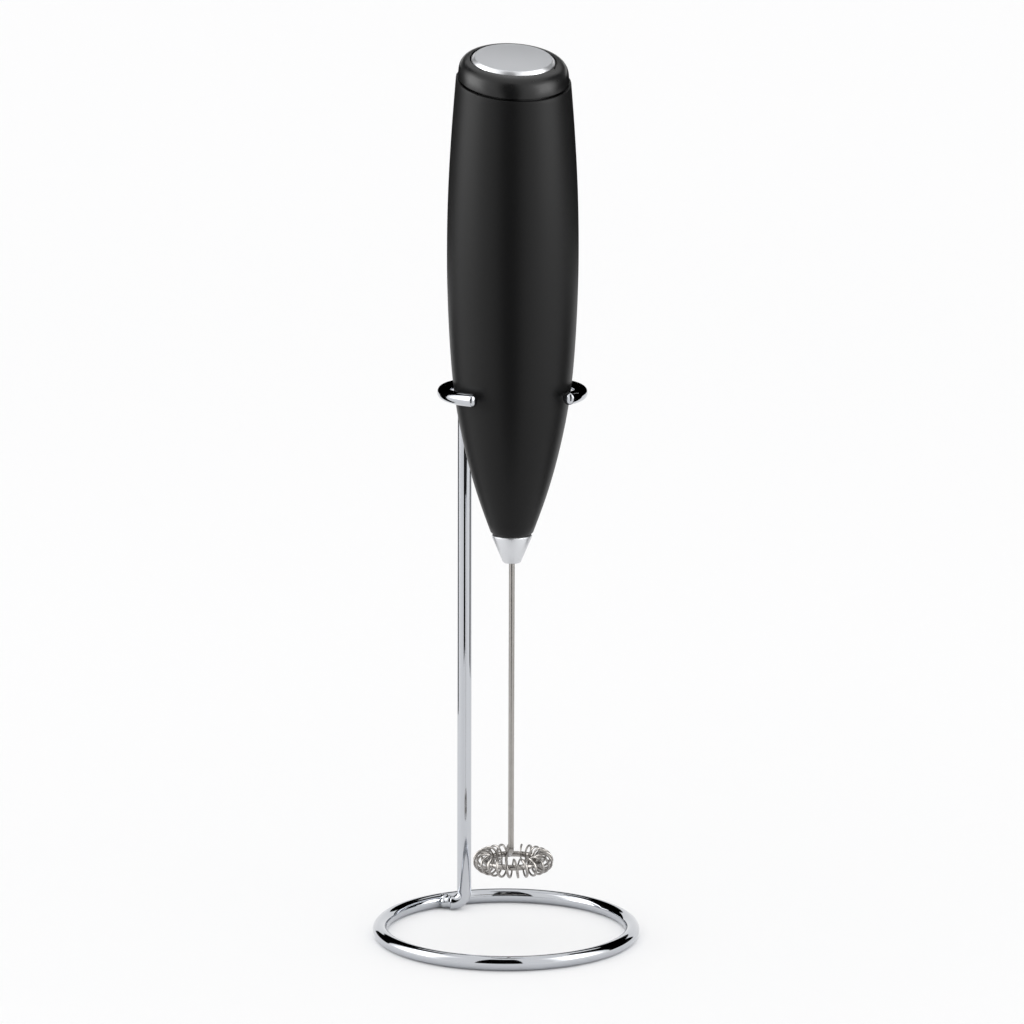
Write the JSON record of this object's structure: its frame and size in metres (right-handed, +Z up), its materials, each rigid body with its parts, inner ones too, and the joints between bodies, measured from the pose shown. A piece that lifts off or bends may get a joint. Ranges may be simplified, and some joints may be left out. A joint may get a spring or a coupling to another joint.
{
  "type": "milk frother",
  "caption": "Slim battery milk frother with a slanted push button, a long shaft and a coil whisk, hanging in a chromed wire stand with an open clip ring.",
  "frame": {"origin": "centre of the base ring, on the surface that the stand rests on", "axes": "+Z up along the handle and the post; -Y is the front, where the clip ring is open and towards which the top of the handle slants down; +X is to the right seen from the front"},
  "size_m": [0.0706, 0.0706, 0.2348],
  "materials": {
    "chrome_wire": "bright chrome plate on round steel wire",
    "soft_black": "soft-touch matt black coating",
    "gloss_black": "polished black moulding",
    "satin_silver": "satin silver with a bright edge",
    "stainless": "plain drawn stainless wire",
    "black_rubber": "matt rubber",
    "bronze": "plain bronze and brass",
    "inner_black": "unpolished black moulding",
    "motor_steel": "zinc-plated sheet and lamination steel",
    "ferrite": "dark sintered magnet",
    "white_nylon": "natural nylon",
    "spring_steel": "bright spring and screw steel",
    "cell_wrap": "plain green battery sleeve",
    "copper": "copper segments",
    "lead_red": "red insulation",
    "lead_black": "black insulation"
  },
  "bodies": {
    "stand": {"base_ring": "chrome_wire", "stand_post": "chrome_wire", "clip_ring": "chrome_wire"},
    "handle": {"handle_shell": "soft_black", "nose_cone": "satin_silver", "neck_ring": "black_rubber", "shaft_bush": "bronze", "motor_cradle": "inner_black", "motor_can": "motor_steel", "magnet_left": "ferrite", "magnet_right": "ferrite", "motor_end_cap": "white_nylon", "contact_deck": "inner_black", "contact_spring_1": "spring_steel", "contact_spring_2": "spring_steel", "lead_red": "lead_red", "lead_black": "lead_black", "deck_screw_1": "spring_steel", "deck_screw_2": "spring_steel"},
    "battery_cap": {"top_cap": "gloss_black", "cap_seal": "black_rubber", "battery_tray": "inner_black", "cell_1": "cell_wrap", "cell_2": "cell_wrap", "switch_leaf": "bronze", "switch_strip": "bronze", "cap_screw_1": "spring_steel", "cap_screw_2": "spring_steel", "button_spring": "spring_steel"},
    "button": {"button_disc": "satin_silver", "button_stem": "inner_black"},
    "rotor": {"armature": "motor_steel", "commutator": "copper", "motor_shaft": "spring_steel", "shaft_coupling": "white_nylon", "whisk_shaft": "stainless", "whisk_coil": "stainless"}
  },
  "joints": [
    {"name": "lift_out", "type": "slide", "parent": "stand", "child": "handle", "axis": [0, 0, 1], "range_m": [0, 0.14]},
    {"name": "cap_pull", "type": "slide", "parent": "handle", "child": "battery_cap", "axis": [0, 0, 1], "range_m": [0, 0.075]},
    {"name": "button_press", "type": "slide", "parent": "battery_cap", "child": "button", "axis": [0, 0.2857, -0.9583], "range_m": [0, 0.0012], "stiffness_N_per_m": 1500, "springref_m": -0.001, "deforming": ["button_spring"]},
    {"name": "whisk_spin", "type": "hinge", "parent": "handle", "child": "rotor", "pos_m": [0.0004, -0.0047, 0.12], "axis": [0, 0, -1], "continuous": true}
  ]
}
